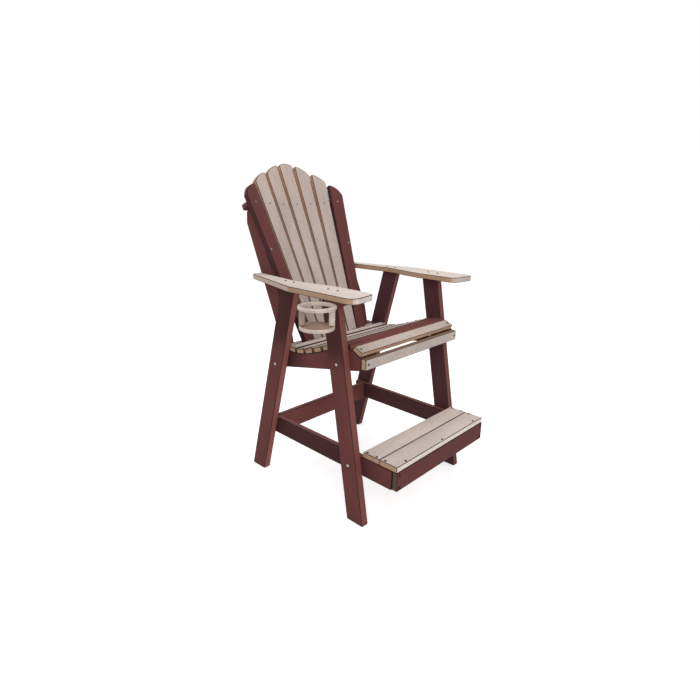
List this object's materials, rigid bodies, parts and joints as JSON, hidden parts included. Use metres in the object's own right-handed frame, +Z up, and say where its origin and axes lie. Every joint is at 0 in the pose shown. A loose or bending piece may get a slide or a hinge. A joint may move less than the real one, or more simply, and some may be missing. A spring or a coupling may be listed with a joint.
{
  "type": "balcony chair",
  "caption": "Tall outdoor armchair with a fan-shaped slatted back, a scooped slat seat, a footrest on low side rails, and a cup holder under one arm.",
  "frame": {"origin": "middle of the bounding box on the floor, cup holder included", "axes": "+Z up, -Y the way the sitter looks, +X to the sitter's left; the cup holder is on the sitter's right, at -X"},
  "size_m": [1.015, 1.0661, 1.4778],
  "materials": {
    "beige_board": "weatherwood beige plastic lumber with a fine satin grain",
    "brown_board": "reddish brown plastic lumber with a fine satin grain",
    "fastener_steel": "dull stainless screw and bolt heads"
  },
  "bodies": {
    "root": {"leg_front_right": "brown_board", "leg_front_left": "brown_board", "leg_rear_right": "brown_board", "leg_rear_left": "brown_board", "arm_right": "beige_board", "arm_left": "beige_board", "seat_side_right": "brown_board", "seat_side_left": "brown_board", "seat_slat_1": "beige_board", "seat_slat_2": "beige_board", "seat_slat_3": "beige_board", "seat_slat_4": "beige_board", "seat_slat_5": "beige_board", "seat_slat_6": "beige_board", "seat_slat_front": "brown_board", "seat_slat_nose": "beige_board", "seat_apron": "beige_board", "back_slat_1": "brown_board", "back_slat_2": "beige_board", "back_slat_3": "beige_board", "back_slat_4": "beige_board", "back_slat_5": "beige_board", "back_slat_6": "beige_board", "back_slat_7": "brown_board", "back_post_right": "brown_board", "back_post_left": "brown_board", "back_brace_upper": "brown_board", "back_brace_lower": "beige_board", "rail_right": "brown_board", "rail_left": "brown_board", "rail_rear": "brown_board", "step_board_front": "beige_board", "step_board_rear": "beige_board", "step_face": "brown_board", "cup_ring": "beige_board", "cup_floor": "beige_board", "cup_post_front": "beige_board", "cup_post_rear": "beige_board", "cup_block": "brown_board", "arm_screws": "fastener_steel", "seat_screws": "fastener_steel", "back_screws": "fastener_steel", "step_screws": "fastener_steel", "cup_screws": "fastener_steel", "frame_bolts": "fastener_steel", "frame_nuts": "fastener_steel"}
  },
  "joints": []
}
